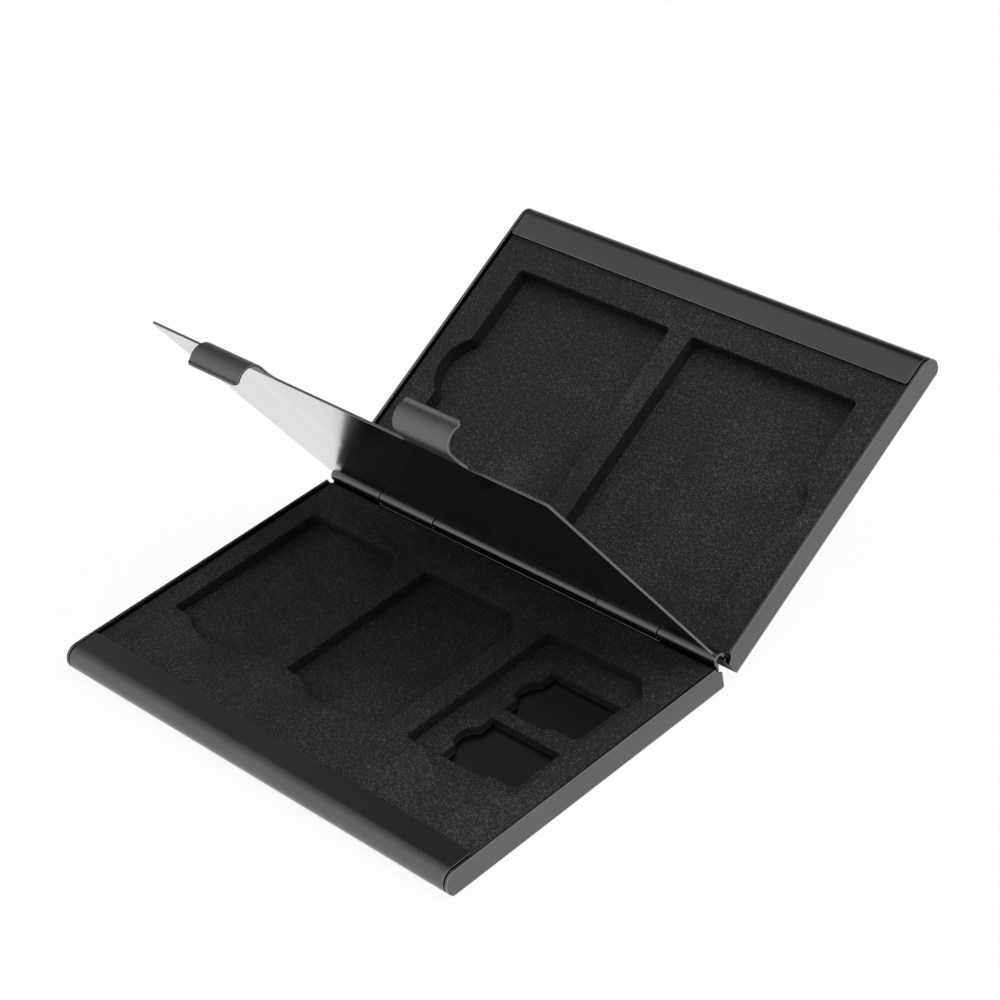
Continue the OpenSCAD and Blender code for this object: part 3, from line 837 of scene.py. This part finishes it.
def floorMaterial():
    shop, s = Shop(bpy.data.materials.new("pale_floor")), stageSettings
    plain = shop.node("ShaderNodeBsdfDiffuse", {}, Color=grey(s["floor"]))
    white = shop.node("ShaderNodeEmission", {}, Color=grey(1.0), Strength=s["white"])
    across, along = (shop.node("ShaderNodeSeparateXYZ", {}, shop.place, output=axis) for axis in "XY")
    across = across.mathsWith("ABSOLUTE")
    below = along.ramp(*s["darkFront"]) * (1.0 - along.ramp(*s["darkRear"]))  # no white below the case
    seen = shop.raysOf("Is Camera Ray") * (1.0 - below * (1.0 - across.ramp(*s["darkSeen"])))
    mirrored = shop.raysOf("Is Glossy Ray", "Is Transmission Ray")
    mirrored = mirrored * (1.0 - below * (1.0 - across.ramp(*s["darkMirrored"])))
    share = (seen + mirrored) * (1 - s["shadowShare"])
    shop.node("ShaderNodeOutputMaterial", {}, shop.node("ShaderNodeMixShader", {}, share, plain, white))
    return shop.owner


floorMesh = bpy.data.meshes.new("floor")
reach = stageSettings["size"] / 2
floorCorners = [(-reach, -reach, 0), (reach, -reach, 0), (reach, reach, 0), (-reach, reach, 0)]
floorMesh.from_pydata(floorCorners, [], [(0, 1, 2, 3)])
floor = newObject("floor", floorMesh)
floor.location.z = -stageSettings["drop"]
floorMesh.materials.append(floorMaterial())


def aimed(thing, place, target):
    thing.location = place
    thing.rotation_euler = (Vector(target) - Vector(place)).to_track_quat("-Z", "Y").to_euler()


for name, lamp in lampSettings.items():
    light = bpy.data.lights.new(name, "AREA")
    light.shape, light.size, light.energy = "SQUARE", lamp["size"], lamp["power"]
    made = newObject(name, light)
    made.visible_glossy = False  # the metal mirrors only the white room
    aimed(made, lamp["place"], lamp["target"])

world = bpy.data.worlds.new("studio")
bpy.context.scene.world = world
sky = Shop(world, "Generated")
# The metal mirrors a white room with one dimmer part, behind the case on the left
nearness = sky.along(sky.place, worldSettings["dimAxis"])
mirrored = worldSettings["dimmest"]
for inner, outer, gain in worldSettings["dimSteps"]:
    edge = nearness.ramp(math.cos(math.radians(outer)), math.cos(math.radians(inner)))
    mirrored = (1.0 - edge) * gain + mirrored
room = sky.node("ShaderNodeBackground", {}, Color=grey(1.0), Strength=worldSettings["light"])
glow = sky.node("ShaderNodeBackground", {}, Color=grey(1.0), Strength=mirrored)
white = sky.node("ShaderNodeBackground", {}, Color=grey(1.0), Strength=1.0)
shown = sky.node("ShaderNodeMixShader", {}, sky.raysOf("Is Glossy Ray", "Is Transmission Ray"), room, glow)
shown = sky.node("ShaderNodeMixShader", {}, sky.raysOf("Is Camera Ray"), shown, white)
sky.node("ShaderNodeOutputWorld", {}, shown)

c = cameraSettings
cameraData = bpy.data.cameras.new("camera")
cameraData.sensor_fit, cameraData.sensor_width = "HORIZONTAL", c["sensor"]
cameraData.lens = c["focal"] / c["frame"] * c["sensor"]
cameraData.clip_start, cameraData.clip_end = c["near"], c["far"]
camera = newObject("camera", cameraData)
look, right = Vector(c["look"]).normalized(), Vector(c["right"]).normalized()
up = right.cross(look).normalized()
right = look.cross(up).normalized()
camera.matrix_world = Matrix((
    (right.x, up.x, -look.x, c["eye"][0] * mm),
    (right.y, up.y, -look.y, c["eye"][1] * mm),
    (right.z, up.z, -look.z, c["eye"][2] * mm),
    (0, 0, 0, 1),
))
bpy.context.scene.camera = camera
bpy.context.scene.view_settings.view_transform = "Standard"
print("stage and camera set")
